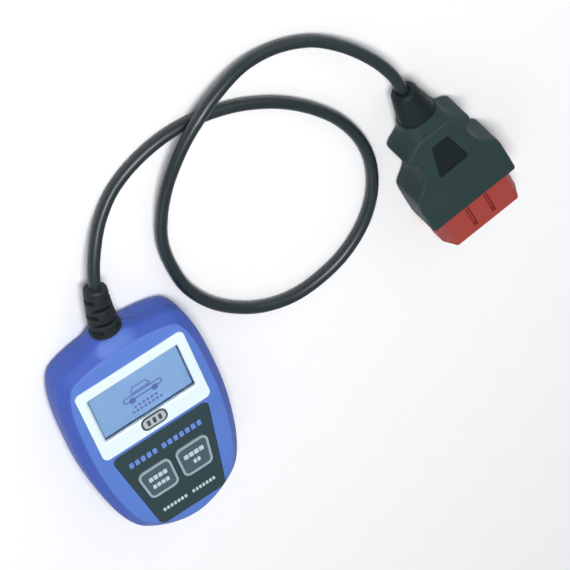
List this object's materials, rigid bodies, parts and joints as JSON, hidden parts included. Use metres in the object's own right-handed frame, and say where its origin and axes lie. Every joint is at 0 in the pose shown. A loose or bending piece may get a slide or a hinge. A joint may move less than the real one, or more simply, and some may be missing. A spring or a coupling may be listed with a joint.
{
  "type": "obd code reader",
  "caption": "Blue handheld vehicle code reader with a display, two spring keys, a fixed black cable in a loop and a diagnostic plug with a red insert.",
  "frame": {"origin": "middle of the handset's back, on the surface that the handset lies on", "axes": "+Y along the handset toward its cable, +X to its right, +Z out of the display"},
  "size_m": [0.2156, 0.1848, 0.02],
  "materials": {
    "case_blue": "fine moulded texture, satin",
    "bezel_white": "gloss",
    "window_clear": "clear gloss",
    "foam_black": "matte foam",
    "display_blue": "gloss glass, lit from behind",
    "backlight_white": "satin",
    "flex_amber": "satin film",
    "badge_dark": "gloss",
    "panel_grey": "fine grain, matte",
    "key_grey": "matte silicone",
    "chip_black": "matte",
    "plunger_brown": "matte",
    "board_green": "solder mask, satin",
    "metal_can": "satin",
    "capacitor_tan": "matte",
    "nylon_ivory": "satin",
    "wire_red": "satin",
    "screw_steel": "satin",
    "label_silver": "satin film",
    "relief_black": "satin",
    "cable_black": "satin",
    "boot_black": "satin",
    "plug_grey": "fine grain, satin",
    "insert_red": "satin",
    "contact_brass": "satin"
  },
  "bodies": {
    "handset": {"front_shell": "case_blue", "rear_shell": "case_blue", "display_bezel": "bezel_white", "display_window": "window_clear", "display_gasket": "foam_black", "display_glass": "display_blue", "display_backlight": "backlight_white", "display_flex": "flex_amber", "badge": "badge_dark", "keypad_panel": "panel_grey", "left_switch_body": "chip_black", "right_switch_body": "chip_black", "main_board": "board_green", "microcontroller": "chip_black", "bus_transceiver": "chip_black", "voltage_regulator": "chip_black", "crystal": "metal_can", "electrolytic_capacitors": "metal_can", "chip_capacitors": "capacitor_tan", "chip_resistors": "chip_black", "cable_header": "nylon_ivory", "cable_header_plug": "nylon_ivory", "handset_wires": "wire_red", "shell_screws": "screw_steel", "board_screws": "screw_steel", "rear_label": "label_silver", "handset_strain_relief": "relief_black", "cable": "cable_black", "plug_boot": "boot_black", "plug_body": "plug_grey", "plug_grip_pad": "boot_black", "obd_insert": "insert_red", "contact_pins": "contact_brass", "plug_wires": "wire_red"},
    "left_key": {"left_button": "key_grey", "left_switch_plunger": "plunger_brown"},
    "right_key": {"right_button": "key_grey", "right_switch_plunger": "plunger_brown"}
  },
  "joints": [
    {"name": "left_button_press", "type": "slide", "parent": "handset", "child": "left_key", "axis": [0, 0, -1], "range_m": [0, 0.0008], "stiffness_N_per_m": 500},
    {"name": "right_button_press", "type": "slide", "parent": "handset", "child": "right_key", "axis": [0, 0, -1], "range_m": [0, 0.0008], "stiffness_N_per_m": 500}
  ]
}
